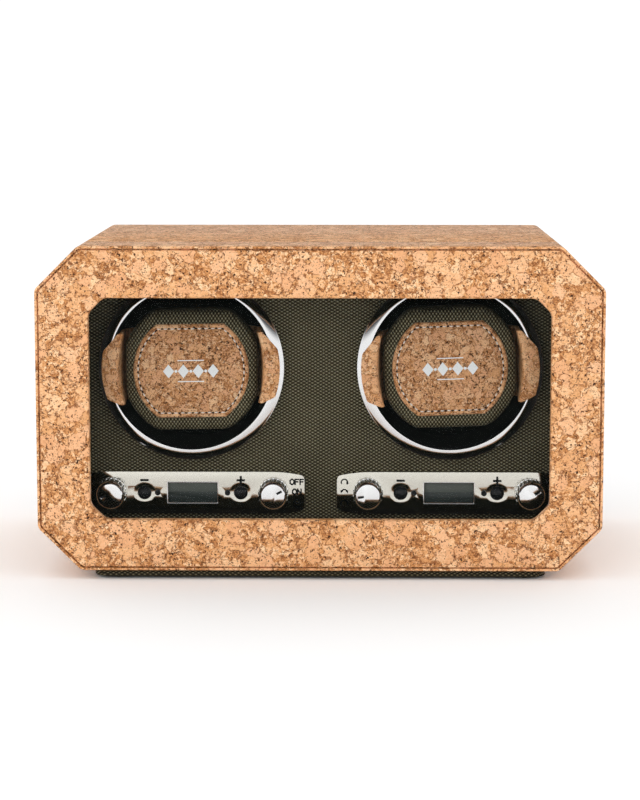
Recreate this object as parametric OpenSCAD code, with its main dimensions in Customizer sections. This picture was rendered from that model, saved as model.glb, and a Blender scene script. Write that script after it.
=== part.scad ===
// Twin watch winder: octagonal cork-covered box, glazed door, two driven drums with padded cuffs.
// Origin under the middle of the box at floor level. +X right, front faces -Y, +Z up. Millimetres.

/* [Case] */
// Width of the box across its side walls
case_w = 336; // [320:1:420]
// Depth of the box from the door's front to the rear edge
case_d = 210; // [205:1:300]
// Height of the box without its base board and feet
case_h = 193.5; // [190:0.5:240]
// Leg of the 45 degree chamfer on each long edge
chamfer = 25.6; // [20:0.2:36]
// Radius that softens each chamfer's edges
edge_r = 4; // [2:0.5:6]
// Thickness of the boards of case and door
board_t = 9; // [7:0.1:11]
// Thickness of the cork covering
cork_t = 1.5; // [1:0.1:2.5]

/* [Base] */
// Side setback of the base board from the box's width
base_inset = 33; // [30:1:45]
// Setback of the base board from the door's front and the rear edge
base_setback = 4; // [2:0.5:10]
// Thickness of the base board
base_t = 3.8; // [3:0.2:8]
// Height of the raised pad that the case stands on
base_step = 0.7; // [0.5:0.1:3]
// Corner radius of the base board
base_r = 8; // [4:1:20]
// Height of the feet
foot_h = 1.2; // [1:0.1:4]
// Radius of a foot
foot_r = 9; // [6:0.5:12]

/* [Door] */
// Depth of the door tray
door_d = 42; // [36:0.1:52]
// Gap between door and case when shut
seam = 0.6; // [0.5:0.1:1]
// Thickness of the door's front panel
face_t = 6; // [5:0.1:8]
// Width of the groove between front panel and edge covering
groove_w = 0.7; // [0.4:0.1:1]
// Border of the front panel at the sides of the window
border_side = 31.5; // [28:0.5:40]
// Border of the front panel above and below the window
border_top = 30.65; // [28:0.05:40]
// Chamfer of the window's corners
window_chamfer = 9; // [6:0.5:12]
// Thickness of the glass
glass_t = 2; // [1.5:0.1:3]
// Width of glass hidden behind the front panel
glass_lap = 6; // [4:0.5:9]
// Thickness of the frame that holds the glass
retainer_t = 4; // [3.5:0.1:6]

/* [Hinges and catch] */
// Height of a hinge
hinge_h = 30; // [24:1:40]
// Radius of the hinge knuckles
knuckle_r = 2.4; // [2:0.1:3]
// Radius of the hinge pins
hinge_pin_r = 1; // [0.8:0.05:1.3]
// Thickness of the hinge leaves
leaf_t = 1.2; // [1:0.1:2]
// Radius of a catch magnet
magnet_r = 3; // [2:0.1:3.6]
// Thickness of a catch magnet
magnet_t = 2; // [1.5:0.1:3]

/* [Drums] */
// Distance between the two drum centres
drum_pitch = 156.8; // [150:0.2:190]
// Outer radius of a drum's chrome ring
ring_r = 56.4; // [46:0.2:57]
// Width of the ring's face
ring_face_w = 6.4; // [5:0.1:8]
// Radius of the dome of the ring's face
ring_dome = 10; // [8:0.5:16]
// Clear height between the ring and the case ceiling
ring_head = 9.4; // [5:0.1:12]
// How far the ring stands proud of the fascia
ring_lip = 10; // [6:0.5:12]
// Depth of the drum cup behind the ring's lip
cup_depth = 67.5; // [60:0.5:75]
// Wall of the drum cup
cup_wall = 1.8; // [1.2:0.1:3]
// Radius of the drum shaft
shaft_r = 4; // [3:0.1:5]
// Groove radius of the drum pulley
pulley_r = 26; // [20:0.5:32]
// Groove radius of the motor pulley
motor_pulley_r = 6.5; // [5:0.5:8]
// Distance from drum shaft to motor shaft
motor_drop = 42; // [36:0.5:44]
// Radius of the motor can
motor_r = 12; // [8:0.5:14]
// Length of the motor can
motor_len = 26; // [18:1:34]

/* [Cuffs] */
// Gap from the cushion's round sides to the cup
cuff_gap = 7.3; // [6:0.1:10]
// Gap from the cushion's side flats to the cup
cuff_side_gap = 10.1; // [9.5:0.1:13]
// Gap for the watch strap above and below the cushion
cuff_strap_gap = 13.4; // [12:0.1:16]
// Thickness of the cushion
cushion_t = 24; // [18:0.5:28]
// Margin of cushion round the cork patch
patch_margin = 9.1; // [7:0.1:12]
// Thickness of the cork patch
patch_t = 1.4; // [1:0.1:2]
// Height of the cork wings
wing_h = 43; // [34:0.5:46]
// Thickness of the cork wings
wing_t = 2.4; // [2:0.1:3]

/* [Control bars] */
// Length of a control bar
bar_w = 137; // [132:0.5:145]
// Height of a control bar
bar_h = 26; // [24:0.5:28]
// Thickness of a control bar
bar_t = 3; // [2:0.1:4]
// Height of the bar's centre above the underside of the case
bar_up = 39.5; // [34:0.5:44]
// Distance from the bar's centre to a knob
knob_off = 49.5; // [45:0.5:52]
// Radius of a knob's skirt
knob_r = 9.2; // [7:0.1:10]
// How far a knob stands proud of the bar
knob_proud = 11.5; // [8:0.5:12]
// Radius of a knob's shaft
knob_shaft_r = 3; // [2:0.1:3.6]
// Distance from the bar's centre to a button
button_off = 29.5; // [29.5:0.1:33]
// Radius of a push button
button_r = 4.15; // [3:0.05:4.5]
// Travel of a push button
button_travel = 1; // [0.5:0.1:1.4]
// Width of the display window
display_w = 30; // [24:0.5:34]
// Height of the display window
display_h = 12; // [8:0.5:14]

/* [Back] */
// Thickness of the back panel
back_t = 4; // [3:0.1:6]
// Radius of the power socket's mouth
socket_r = 2.8; // [2.7:0.05:3]
// Height of the power socket above the underside of the case
socket_up = 32; // [30:1:60]

/* [Hidden] */
$fn = 64;
run_gap = 0.05;
part_gap = 0.3;
segs = 4;
cork = [0.83, 0.62, 0.40];
olive = [0.20, 0.19, 0.14];
chrome = [0.82, 0.83, 0.85];
black = [0.06, 0.06, 0.07];

half_w = case_w / 2;
half_h = case_h / 2;
front = -case_d / 2;
back = case_d / 2;
floor_z = foot_h + base_t + base_step;
mid_z = floor_z + half_h;
seam_y = front + door_d;
case_front = seam_y + seam / 2;
door_back = seam_y - seam / 2;
lining = cork_t + board_t;
face_back = front + face_t;
glass_back = face_back + glass_t;
window_w = case_w - 2 * border_side;
window_h = case_h - 2 * border_top;
retainer_back = face_back + retainer_t;

fascia_set = 5;
fascia_t = 6;
fascia_front = seam_y + fascia_set;
fascia_back = fascia_front + fascia_t;
ceiling_z = floor_z + case_h - lining;
drum_x = drum_pitch / 2;
drum_z = ceiling_z - ring_head - ring_r;
ring_front = fascia_front - ring_lip;
ring_back = fascia_front - 0.4;
ring_bore = ring_r - ring_face_w;
ring_edge = 0.4;
ring_slope = asin((ring_face_w - ring_edge) / ring_dome);
cup_r = ring_bore + 1;
cup_front = ring_front + 3;
cup_outer = cup_r + cup_wall;
cup_floor = cup_front + cup_depth;
cup_back = cup_floor + 2.2;
bulkhead_front = cup_back + 3.3;
bulkhead_back = bulkhead_front + 3;
fascia_hole_r = cup_outer + 1.5;
housing_r = cup_outer + 2.8;
housing_wall = 2.4;
housing_flange_r = fascia_hole_r + 7.2;
bush_r = shaft_r + 5;
bush_back = bulkhead_back + 2;
pulley_front = bush_back + 1;
pulley_back = pulley_front + 6;
belt_t = 1.8;
bracket_front = pulley_back + 2;
bracket_t = 2;
motor_shaft_r = 1.5;
motor_flat = 7.5;
post_x = 12;
post_drop = motor_drop + 10;
pad_h = motor_drop - bush_r - 6;

cuff_r = cup_r - cuff_gap;
cuff_flat_x = cup_r - cuff_side_gap;
cuff_flat_z = cup_r - cuff_strap_gap;
cushion_front = ring_front + 0.6;
cushion_back = cushion_front + cushion_t;
patch_front = cushion_front - patch_t;
patch_r = cuff_r - patch_margin;
patch_flat = cuff_flat_z - patch_margin;
wing_gap = 0.6;
ear_r = ring_r - 2.6;
core_x = 26;
core_z = 20;
core_back = cup_floor - 4;

bar_front = fascia_front - bar_t;
bar_z = floor_z + bar_up;
bar_sweep = 20;
bar_dip = 2.5;
pocket_w = 2 * knob_off + 18;
pocket_h = 18;
display_ear = button_off - button_r - 1.55;
bar_screw_x = 21.4;
direction_mark = 190;
power_mark = 28;
knob_back = bar_front - 0.4;
knob_front = bar_front - knob_proud;
button_flange_r = button_r + 0.65;
button_flange_y = fascia_front + part_gap;
board_thick = 1.6;

base_screw_up = 7;
base_screw_at = [
    for (x = [-1, 1], y = [seam_y + 26, back - 26]) [x * (half_w - base_inset - 22), y]];

hinge_z = [mid_z - 45, mid_z + 45];
leaf_l = lining - 2.5;
knuckle_gap = part_gap;
magnet_z = [mid_z - 32, mid_z + 32];
magnet_x = half_w - lining / 2 - 0.5;
ledge = 7.5;
panel_front = back - cork_t - back_t - 0.5;
panel_back = panel_front + back_t;
socket_z = floor_z + socket_up;

// Corners of a convex outline, each replaced by an arc of radius r in segs steps.
function turn(p) = atan2(p[1], p[0]);
function arc_at(a, v, b, r) =
    let (d0 = (v - a) / norm(v - a), d1 = (b - v) / norm(b - v))
    let (bend = (turn(d1) - turn(d0) + 720) % 360)
    let (start = turn(d0) - 90, c = v - d0 * r * tan(bend / 2) + [-d0[1], d0[0]] * r)
    [for (i = [0:segs]) c + r * [cos(start + bend * i / segs), sin(start + bend * i / segs)]];
function rounded(p, r) = r <= 0 ? p :
    [for (i = [0:len(p) - 1]) each arc_at(p[(i + len(p) - 1) % len(p)], p[i], p[(i + 1) % len(p)], r)];

// Octagon of half sizes a and b with chamfer leg c, counter-clockwise.
function octagon(a, b, c) = [
    [a, -b + c], [a, b - c], [a - c, b], [-a + c, b],
    [-a, b - c], [-a, -b + c], [-a + c, -b], [a - c, -b]];

// The box's own outline, set in by d from the outside of the cork.
module case_outline(d) {
    translate([0, mid_z])
        polygon(rounded(octagon(half_w - d, half_h - d, chamfer - d * (2 - sqrt(2))), edge_r - d));
}

// An XZ outline from depth y0 to depth y1.
module slab(y0, y1) {
    translate([0, y1, 0]) rotate([90, 0, 0]) linear_extrude(height = y1 - y0) children();
}

// A round bar along Y.
module rod(x, z, y0, y1, r) {
    translate([x, y0, z]) rotate([-90, 0, 0]) cylinder(h = y1 - y0, r = r);
}

// A solid turned about a Y axis at x, z, from a profile of [radius, y] points.
module turned(x, z, profile) {
    translate([x, 0, z]) rotate([-90, 0, 0]) rotate_extrude($fn = 96) polygon(profile);
}

// A box centred on x and z, from depth y0 to y1.
module block(x, z, w, h, y0, y1) {
    translate([x - w / 2, y0, z - h / 2]) cube([w, y1 - y0, h]);
}

// A pan-head screw along Y, its head behind the face at y, its shank reaching forward.
module screw_y(x, z, y, head_r, head_h, shank_r, shank_l) {
    rod(x, z, y - shank_l, y, shank_r);
    rod(x, z, y, y + head_h, head_r);
}

// ---- Case -------------------------------------------------------------------------------

module hinge_relief(h) {
    for (z = hinge_z)
        translate([-half_w, seam_y, z - h / 2]) cylinder(h = h, r = knuckle_r + 0.35);
}

module body_carcass() {
    color("burlywood") difference() {
        union() {
            slab(case_front + cork_t, back - cork_t) difference() {
                case_outline(cork_t);
                case_outline(lining);
            }
            slab(panel_front - ledge, panel_front) difference() {
                case_outline(lining);
                case_outline(lining + ledge);
            }
        }
        hinge_relief(hinge_h + 1);
        back_screw_cuts(1.3);
        for (p = base_screw_at)
            translate([p[0], p[1], floor_z - 1]) cylinder(h = base_screw_up + 1, r = 1.4);
        for (z = hinge_z)
            leaf_slot(z, case_front, case_front + leaf_t);
        magnet_bores(case_front, case_front + magnet_t);
    }
}

module body_wrap() {
    color(cork) difference() {
        union() {
            slab(case_front, back) difference() {
                case_outline(0);
                case_outline(cork_t);
            }
            for (y = [case_front, back - cork_t])
                slab(y, y + cork_t) difference() {
                    case_outline(cork_t);
                    case_outline(lining);
                }
        }
        hinge_relief(hinge_h + 1);
        for (z = hinge_z)
            leaf_slot(z, case_front, case_front + leaf_t);
        magnet_bores(case_front, case_front + magnet_t);
        for (p = base_screw_at)
            translate([p[0], p[1], floor_z - 1]) cylinder(h = cork_t + 1, r = 1.4);
    }
}

module base_plan(grow) {
    a = half_w - base_inset + grow;
    f = front + base_setback - grow;
    b = back - base_setback + grow;
    polygon(rounded([[-a, f], [a, f], [a, b], [-a, b]], base_r + grow));
}

module base_board() {
    color(olive) difference() {
        union() {
            translate([0, 0, foot_h]) linear_extrude(height = base_t) base_plan(0);
            translate([0, 0, foot_h + base_t]) linear_extrude(height = base_step)
                intersection() {
                    base_plan(-3);
                    translate([-half_w, seam_y + 4]) square([case_w, case_d]);
                }
        }
        for (p = base_screw_at) {
            translate([p[0], p[1], foot_h - 1]) cylinder(h = 2.6, r = 3);
            translate([p[0], p[1], foot_h]) cylinder(h = base_t + 2, r = 1.4);
        }
    }
}

module base_screws() {
    color(black) for (p = base_screw_at) {
        translate([p[0], p[1], foot_h + 0.2]) cylinder(h = 1.4, r = 3);
        translate([p[0], p[1], foot_h + 0.2]) cylinder(h = base_t + base_step + base_screw_up - 0.2, r = 1.4);
    }
}

module feet() {
    color(black) for (x = [-1, 1], y = [-1, 1])
        translate([x * (half_w - base_inset - 14), y * (back - base_setback - 14), 0])
            cylinder(h = foot_h, r = foot_r);
}

// Screw places round the back panel: three along top and bottom, one on each side.
function back_screw_at() = concat(
    [for (x = [-1, 0, 1], z = [-1, 1]) [x * (half_w - 50), mid_z + z * (half_h - lining - ledge / 2)]],
    [for (x = [-1, 1]) [x * (half_w - lining - ledge / 2), mid_z]]);

module back_screw_cuts(r) {
    for (p = back_screw_at())
        rod(p[0], p[1], panel_front - 6, panel_back + 1, r);
}

module back_panel() {
    color(black) difference() {
        slab(panel_front, panel_back) case_outline(lining);
        back_screw_cuts(1.3);
        rod(0, socket_z, panel_front - 1, panel_back + 1, socket_r + 2);
    }
}

module back_screws() {
    color(chrome) for (p = back_screw_at())
        screw_y(p[0], p[1], panel_back, 2.8, 1.3, 1.3, back_t + 6);
}

module power_socket() {
    color(black) {
        difference() {
            union() {
                rod(0, socket_z, panel_front - 7, panel_back, socket_r + 2);
                rod(0, socket_z, panel_back, panel_back + 1.3, socket_r + 3.4);
            }
            rod(0, socket_z, panel_back - 2.2, panel_back + 2, socket_r);
            rod(0, socket_z, panel_front - 5, panel_back, socket_r - 0.2);
        }
        rod(0, socket_z, panel_front - 5, panel_back - 2.6, 1);
    }
}

// ---- Hinges and catch -------------------------------------------------------------------

module leaf_slot(z, y0, y1) {
    block(-half_w + leaf_l / 2 - 0.01, z, leaf_l + 0.02, hinge_h, y0 - 0.01, y1);
}

module hinge_leaves_body() {
    color("goldenrod") for (z = hinge_z) difference() {
        union() {
            block(-half_w + leaf_l / 2, z, leaf_l, hinge_h, case_front, case_front + leaf_t);
            translate([-half_w, seam_y, z - hinge_h / 2]) cylinder(h = hinge_h, r = knuckle_r);
        }
        translate([-half_w, seam_y, z - hinge_h / 2 - 1]) cylinder(h = hinge_h + 2, r = hinge_pin_r);
        block(-half_w, z, 2 * knuckle_r + 2, hinge_h / 3 + 2 * knuckle_gap, seam_y - 4, seam_y + 4);
    }
}

module hinge_pins() {
    color("silver") for (z = hinge_z)
        translate([-half_w, seam_y, z - hinge_h / 2]) cylinder(h = hinge_h, r = hinge_pin_r);
}

module hinge_leaves_door() {
    color("goldenrod") for (z = hinge_z) difference() {
        union() {
            block(-half_w + leaf_l / 2, z, leaf_l, hinge_h, door_back - leaf_t, door_back);
            translate([-half_w, seam_y, z - hinge_h / 6]) cylinder(h = hinge_h / 3, r = knuckle_r);
        }
        translate([-half_w, seam_y, z - hinge_h / 2 - 1]) cylinder(h = hinge_h + 2, r = hinge_pin_r + run_gap);
        for (s = [-1, 1])
            block(-half_w, z + s * (hinge_h / 3 - knuckle_gap / 2), 2 * knuckle_r + 0.8,
                hinge_h / 3 + knuckle_gap, seam_y - 4, seam_y + 4);
    }
}

module magnet_bores(y0, y1) {
    for (z = magnet_z)
        rod(magnet_x, z, y0, y1, magnet_r);
}

module case_magnets() {
    color("silver") magnet_bores(case_front, case_front + magnet_t);
}

module strike_plates() {
    color("silver") magnet_bores(door_back - magnet_t, door_back);
}

// ---- Door -------------------------------------------------------------------------------

module door_rim() {
    color("burlywood") difference() {
        slab(face_back, door_back - cork_t) difference() {
            case_outline(cork_t);
            case_outline(lining);
        }
        hinge_relief(hinge_h + 1);
        for (z = hinge_z)
            leaf_slot(z, door_back - leaf_t, door_back + 1);
        magnet_bores(door_back - magnet_t, door_back);
    }
}

module door_wrap() {
    color(cork) difference() {
        union() {
            slab(front, door_back) difference() {
                case_outline(0);
                case_outline(cork_t);
            }
            slab(door_back - cork_t, door_back) difference() {
                case_outline(cork_t);
                case_outline(lining);
            }
        }
        hinge_relief(hinge_h + 1);
        for (z = hinge_z)
            leaf_slot(z, door_back - leaf_t, door_back + 1);
        magnet_bores(door_back - magnet_t, door_back);
    }
}

module window_outline(grow) {
    translate([0, mid_z])
        polygon(rounded(octagon(window_w / 2 + grow, window_h / 2 + grow, window_chamfer), 8));
}

module door_face() {
    color(cork) difference() {
        union() {
            slab(front + 1, face_back) case_outline(cork_t);
            slab(front, front + 1) case_outline(cork_t + groove_w);
        }
        slab(front - 1, face_back + 1) window_outline(0);
    }
}

module glass_outline() {
    translate([-window_w / 2 - glass_lap, mid_z - window_h / 2 - glass_lap])
        square([window_w + 2 * glass_lap, window_h + 2 * glass_lap]);
}

module glass_pane() {
    color("lightblue", 0.3) slab(face_back, glass_back) glass_outline();
}

module glass_retainer() {
    color(olive) difference() {
        slab(face_back, retainer_back) case_outline(lining);
        slab(face_back - 1, glass_back) glass_outline();
        slab(glass_back - 1, retainer_back + 1) window_outline(1);
    }
}

// ---- Fascia and drums -------------------------------------------------------------------

module fascia() {
    color(olive) difference() {
        slab(fascia_front, fascia_back) case_outline(lining);
        for (side = [-1, 1]) {
            rod(side * drum_x, drum_z, fascia_front - 1, fascia_back + 1, fascia_hole_r);
            block(side * drum_x, bar_z, pocket_w, pocket_h, fascia_front - 1, fascia_back + 1);
        }
    }
}

// The chrome ring: a domed face round the drum's mouth, its back seated over the cup's front edge.
module ring(side) {
    face = [for (i = [0:segs]) let (a = ring_slope * i / segs)
        [ring_bore + ring_dome * sin(a), ring_front + ring_dome * (1 - cos(a))]];
    color(chrome) turned(side * drum_x, drum_z, concat(face, [
        [ring_r, face[segs][1] + ring_edge], [ring_r, ring_back], [cup_outer, ring_back],
        [cup_outer, cup_front], [ring_bore, cup_front]]));
}

module housing(side) {
    x = side * drum_x;
    color(black) {
        turned(x, drum_z, [
            [fascia_hole_r + 0.2, fascia_back], [housing_flange_r, fascia_back],
            [housing_flange_r, fascia_back + 3], [housing_r + housing_wall, fascia_back + 3],
            [housing_r + housing_wall, bulkhead_back], [bush_r, bulkhead_back],
            [bush_r, bulkhead_front], [housing_r, bulkhead_front],
            [housing_r, fascia_back + 3], [fascia_hole_r + 0.2, fascia_back + 3]]);
        block(x, drum_z - post_drop + pad_h / 2 - 3, 2 * post_x + 6, pad_h,
            bulkhead_front, bulkhead_back);
        for (s = [-1, 1]) difference() {
            rod(x + s * post_x, drum_z - post_drop, bulkhead_back, bracket_front, 2.4);
            rod(x + s * post_x, drum_z - post_drop, bracket_front - 7, bracket_front + 1, 1.2);
        }
    }
}

module drum_bushes() {
    color("goldenrod") for (side = [-1, 1])
        turned(side * drum_x, drum_z, [
            [shaft_r + run_gap, bulkhead_front], [bush_r, bulkhead_front], [bush_r, bulkhead_back],
            [bush_r + 2, bulkhead_back], [bush_r + 2, bush_back], [shaft_r + run_gap, bush_back]]);
}

module drum_cup(side) {
    color(black) turned(side * drum_x, drum_z, [
        [cup_r, cup_front], [cup_outer, cup_front], [cup_outer, cup_back],
        [shaft_r + 3, cup_back], [shaft_r + 3, bulkhead_front - part_gap],
        [shaft_r, bulkhead_front - part_gap], [shaft_r, cup_back - 1.2],
        [0, cup_back - 1.2], [0, cup_floor], [cup_r, cup_floor]]);
}

module drum_shaft(side) {
    mid = (pulley_front + pulley_back) / 2;
    color("silver") turned(side * drum_x, drum_z, [
        [0, cup_back - 1.2], [shaft_r, cup_back - 1.2], [shaft_r, pulley_front],
        [pulley_r + 2, pulley_front], [pulley_r + 2, mid - 2], [pulley_r, mid - 2],
        [pulley_r, mid + 2], [pulley_r + 2, mid + 2], [pulley_r + 2, pulley_back],
        [0, pulley_back]]);
}

// ---- Drive ------------------------------------------------------------------------------

module belt_loop(grow) {
    hull() {
        circle(r = pulley_r + grow, $fn = 96);
        translate([0, -motor_drop]) circle(r = motor_pulley_r + grow, $fn = 48);
    }
}

module belts() {
    mid = (pulley_front + pulley_back) / 2;
    color(black) for (side = [-1, 1]) translate([side * drum_x, 0, drum_z])
        slab(mid - 1.6, mid + 1.6) difference() {
            belt_loop(part_gap + belt_t);
            belt_loop(part_gap);
        }
}

module motor_pulley(side) {
    mid = (pulley_front + pulley_back) / 2;
    color("goldenrod") turned(side * drum_x, drum_z - motor_drop, [
        [0, pulley_front], [motor_pulley_r + 2, pulley_front], [motor_pulley_r + 2, mid - 2],
        [motor_pulley_r, mid - 2], [motor_pulley_r, mid + 2], [motor_pulley_r + 2, mid + 2],
        [motor_pulley_r + 2, pulley_back], [motor_shaft_r, pulley_back],
        [motor_shaft_r, bracket_front + 8], [0, bracket_front + 8]]);
}

module motor_brackets() {
    color("silver") for (side = [-1, 1]) difference() {
        block(side * drum_x, drum_z - motor_drop - 2, 2 * motor_r + 8, 2 * motor_r + 10,
            bracket_front, bracket_front + bracket_t);
        rod(side * drum_x, drum_z - motor_drop, bracket_front - 1, bracket_front + bracket_t + 1, 5);
        for (s = [-1, 1])
            rod(side * drum_x + s * post_x, drum_z - post_drop, bracket_front - 1,
                bracket_front + bracket_t + 1, 1.2);
    }
}

module bracket_screws() {
    color(black) for (side = [-1, 1], s = [-1, 1])
        screw_y(side * drum_x + s * post_x, drum_z - post_drop, bracket_front + bracket_t,
            2.2, 1.2, 1.2, bracket_t + 7);
}

module motor(side) {
    x = side * drum_x;
    z = drum_z - motor_drop;
    can = bracket_front + bracket_t;
    color("silver") difference() {
        union() {
            rod(x, z, bracket_front, can, 5);
            intersection() {
                rod(x, z, can, can + motor_len, motor_r);
                block(x, z, 2 * motor_r, 2 * motor_flat, can, can + motor_len);
            }
        }
        rod(x, z, bracket_front - 1, bracket_front + 9, motor_shaft_r + run_gap);
    }
}

// ---- Cuffs ------------------------------------------------------------------------------

module cut_disc(r, fx, fz) {
    intersection() {
        circle(r = r, $fn = 96);
        square([2 * fx, 2 * fz], center = true);
    }
}

module cuff_cushion(side) {
    color(olive) translate([side * drum_x, 0, drum_z])
        slab(cushion_front, cushion_back) cut_disc(cuff_r, cuff_flat_x, cuff_flat_z);
}

module cuff_patch(side) {
    color(cork) translate([side * drum_x, 0, drum_z])
        slab(patch_front, cushion_front) cut_disc(patch_r, cuff_flat_x, patch_flat);
}

module cuff_core(side) {
    color(black) block(side * drum_x, drum_z, 2 * core_x, 2 * core_z, cushion_back, core_back);
}

// One wing in plan: out of the core's flank, forward past the cushion, then out over the ring.
module wing_plan() {
    root = [core_x, core_back - 14];
    knee = [cuff_flat_x + 0.5, cushion_back + 0.5];
    crease = [cuff_flat_x + 2.4, ring_front - wing_gap - wing_t];
    tip = [ear_r + 1, crease[1]];
    polygon([root, root + [0, -6], knee, crease, tip, tip + [0, wing_t],
        crease + [wing_t, wing_t], knee + [wing_t, 1.6]]);
}

module cuff_wings(side) {
    color(cork) translate([side * drum_x, 0, drum_z]) intersection() {
        for (s = [0, 1]) mirror([s, 0, 0])
            translate([0, 0, -wing_h / 2]) linear_extrude(height = wing_h) wing_plan();
        turned(0, 0, [
            [0, ring_front - 8], [ear_r, ring_front - 8], [ear_r, ring_front - wing_gap],
            [ring_bore - wing_gap, ring_front - wing_gap], [ring_bore - wing_gap, cup_floor - 1],
            [0, cup_floor - 1]]);
    }
}

// ---- Control bars -----------------------------------------------------------------------

// Half height of a bar at distance x from its middle: level, then dipping towards the end.
function bar_half(x) = bar_h / 2 - bar_dip * pow(max(0, (x - bar_w / 2 + bar_sweep) / bar_sweep), 2);
function bar_edge() = [for (i = [0:8]) let (x = bar_w / 2 - bar_sweep + i * (bar_sweep - 1.5) / 8) [x, bar_half(x)]];
function flip(p, sx, sy) = [for (i = [0:len(p) - 1])
    let (q = sx * sy > 0 ? p[i] : p[len(p) - 1 - i]) [sx * q[0], sy * q[1]]];

module bar_outline() {
    top = concat(bar_edge(), [[bar_w / 2 - 0.4, bar_half(bar_w / 2) - 0.8], [bar_w / 2, bar_half(bar_w / 2) - 2.4]]);
    polygon(concat(flip(top, 1, 1), flip(top, 1, -1), flip(top, -1, -1), flip(top, -1, 1)));
}

module control_bar(side) {
    x = side * drum_x;
    color(chrome) difference() {
        translate([x, 0, bar_z]) slab(bar_front, fascia_front) bar_outline();
        block(x, bar_z, display_w, display_h, bar_front - 1, fascia_front + 1);
        for (s = [-1, 1]) {
            rod(x + s * knob_off, bar_z, bar_front - 1, fascia_front + 1, knob_shaft_r + run_gap);
            rod(x + s * button_off, bar_z, bar_front - 1, fascia_front + 1, button_r + run_gap);
            rod(x + s * bar_screw_x, bar_z, bar_front - 1, fascia_front + 1, 0.9);
        }
    }
}

module bar_screws() {
    color(black) for (side = [-1, 1], s = [-1, 1]) difference() {
        union() {
            rod(side * drum_x + s * bar_screw_x, bar_z, bar_front - 0.8, bar_front, 1.7);
            rod(side * drum_x + s * bar_screw_x, bar_z, bar_front, fascia_front + 2.5, 0.9);
        }
        for (w = [[1.8, 0.5], [0.5, 1.8]])
            block(side * drum_x + s * bar_screw_x, bar_z, w[0], w[1], bar_front - 1, bar_front - 0.4);
    }
}

module displays() {
    color([0.30, 0.34, 0.31]) for (side = [-1, 1]) difference() {
        union() {
            block(side * drum_x, bar_z, 2 * display_ear, display_h + 3, fascia_front, fascia_front + 3);
            block(side * drum_x, bar_z, display_w - 2, display_h, fascia_front + 3, fascia_back);
        }
        for (s = [-1, 1])
            rod(side * drum_x + s * bar_screw_x, bar_z, fascia_front - 1, fascia_front + 2.5, 0.9);
    }
}

module circuit_board(side) {
    color("darkgreen") block(side * drum_x, bar_z, pocket_w + 8, pocket_h + 9,
        fascia_back, fascia_back + board_thick);
}

module rotary_switches() {
    color(black) for (side = [-1, 1], s = [-1, 1]) difference() {
        block(side * drum_x + s * knob_off, bar_z, 13, 13, fascia_front + 0.5, fascia_back);
        rod(side * drum_x + s * knob_off, bar_z, fascia_front - 1, fascia_back - 0.8, knob_shaft_r + run_gap);
    }
}

module button_switches() {
    color(black) for (side = [-1, 1], s = [-1, 1])
        block(side * drum_x + s * button_off, bar_z, 5.6, 6,
            button_flange_y + 1 + button_travel + part_gap, fascia_back);
}

// A fluted knob with its index slot at the given angle, anticlockwise from +X.
module knob(x, mark) {
    flutes = 20;
    color(chrome) difference() {
        turned(x, bar_z, [
            [0, knob_front], [knob_r - 2.2, knob_front], [knob_r - 1.7, knob_front + 0.4],
            [knob_r - 0.5, knob_front + 1.9], [knob_r, knob_front + 3], [knob_r, knob_back],
            [knob_shaft_r, knob_back], [knob_shaft_r, fascia_back - 1.2], [0, fascia_back - 1.2]]);
        for (i = [0:flutes - 1])
            rod(x + (knob_r + 0.25) * cos(i * 360 / flutes), bar_z + (knob_r + 0.25) * sin(i * 360 / flutes),
                knob_front - 1, knob_back - 1, 0.8);
        translate([x, 0, bar_z]) rotate([0, -mark, 0])
            block(knob_r * 0.47, 0, 3.6, 1.4, knob_front - 1, knob_front + 0.4);
    }
}

module button(x) {
    color(black) turned(x, bar_z, [
        [0, bar_front - 1.9], [2, bar_front - 1.8], [3.4, bar_front - 1.3], [button_r, bar_front - 0.5],
        [button_r, button_flange_y], [button_flange_r, button_flange_y],
        [button_flange_r, button_flange_y + 1], [0, button_flange_y + 1]]);
}

body_carcass();
body_wrap();
fascia();
base_board();
base_screws();
feet();
back_panel();
back_screws();
power_socket();
hinge_leaves_body();
hinge_pins();
case_magnets();
ring(-1);  // ring_left
ring(1);  // ring_right
housing(-1);  // housing_left
housing(1);  // housing_right
drum_bushes();
motor(-1);  // motor_left
motor(1);  // motor_right
motor_brackets();
bracket_screws();
belts();
control_bar(-1);  // control_bar_left
control_bar(1);  // control_bar_right
bar_screws();
displays();
circuit_board(-1);  // circuit_board_left
circuit_board(1);  // circuit_board_right
rotary_switches();
button_switches();
door_rim();
door_wrap();
door_face();
glass_pane();
glass_retainer();
hinge_leaves_door();
strike_plates();
drum_cup(-1);  // drum_cup_left
drum_cup(1);  // drum_cup_right
drum_shaft(-1);  // drum_shaft_left
drum_shaft(1);  // drum_shaft_right
motor_pulley(-1);  // motor_pulley_left
motor_pulley(1);  // motor_pulley_right
cuff_cushion(-1);  // cuff_cushion_left
cuff_cushion(1);  // cuff_cushion_right
cuff_core(-1);  // cuff_core_left
cuff_core(1);  // cuff_core_right
cuff_patch(-1);  // cuff_patch_left
cuff_patch(1);  // cuff_patch_right
cuff_wings(-1);  // cuff_wings_left
cuff_wings(1);  // cuff_wings_right
knob(-drum_x - knob_off, direction_mark);  // knob_direction_left
knob(-drum_x + knob_off, power_mark);  // knob_power_left
knob(drum_x - knob_off, direction_mark);  // knob_direction_right
knob(drum_x + knob_off, power_mark);  // knob_power_right
button(-drum_x - button_off);  // button_minus_left
button(-drum_x + button_off);  // button_plus_left
button(drum_x - button_off);  // button_minus_right
button(drum_x + button_off);  // button_plus_right
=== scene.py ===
import math
import bmesh
import bpy
from mathutils import Matrix, Vector
from mathutils.bvhtree import BVHTree


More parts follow.
